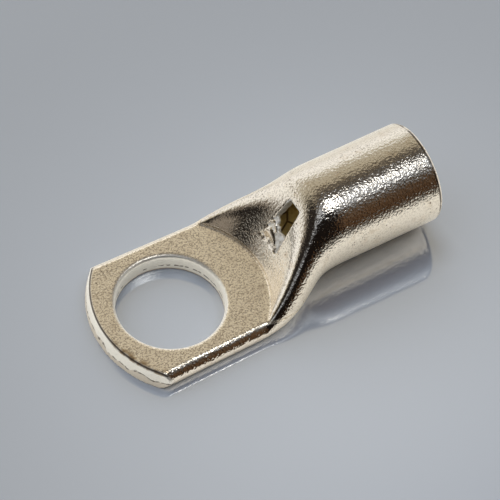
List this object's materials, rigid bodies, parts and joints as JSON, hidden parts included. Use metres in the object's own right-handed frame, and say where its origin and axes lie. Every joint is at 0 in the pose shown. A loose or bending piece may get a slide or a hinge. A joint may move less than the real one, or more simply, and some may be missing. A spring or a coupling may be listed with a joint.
{
  "type": "tube cable lug",
  "caption": "Tinned copper tube lug: a round barrel that takes a stripped conductor, folded flat into a palm with a stud hole and an inspection slit.",
  "frame": {"origin": "centre of the stud hole on the palm's underside", "axes": "+X along the barrel towards its mouth, +Z out of the palm's coined face, the underside of palm and barrel lying in the plane Z = 0"},
  "size_m": [0.0351, 0.0152, 0.0102],
  "materials": {
    "tinned_copper": "satin tin plate over copper, warm silver, finely pitted"
  },
  "bodies": {
    "root": {"lug": "tinned_copper"}
  },
  "joints": []
}
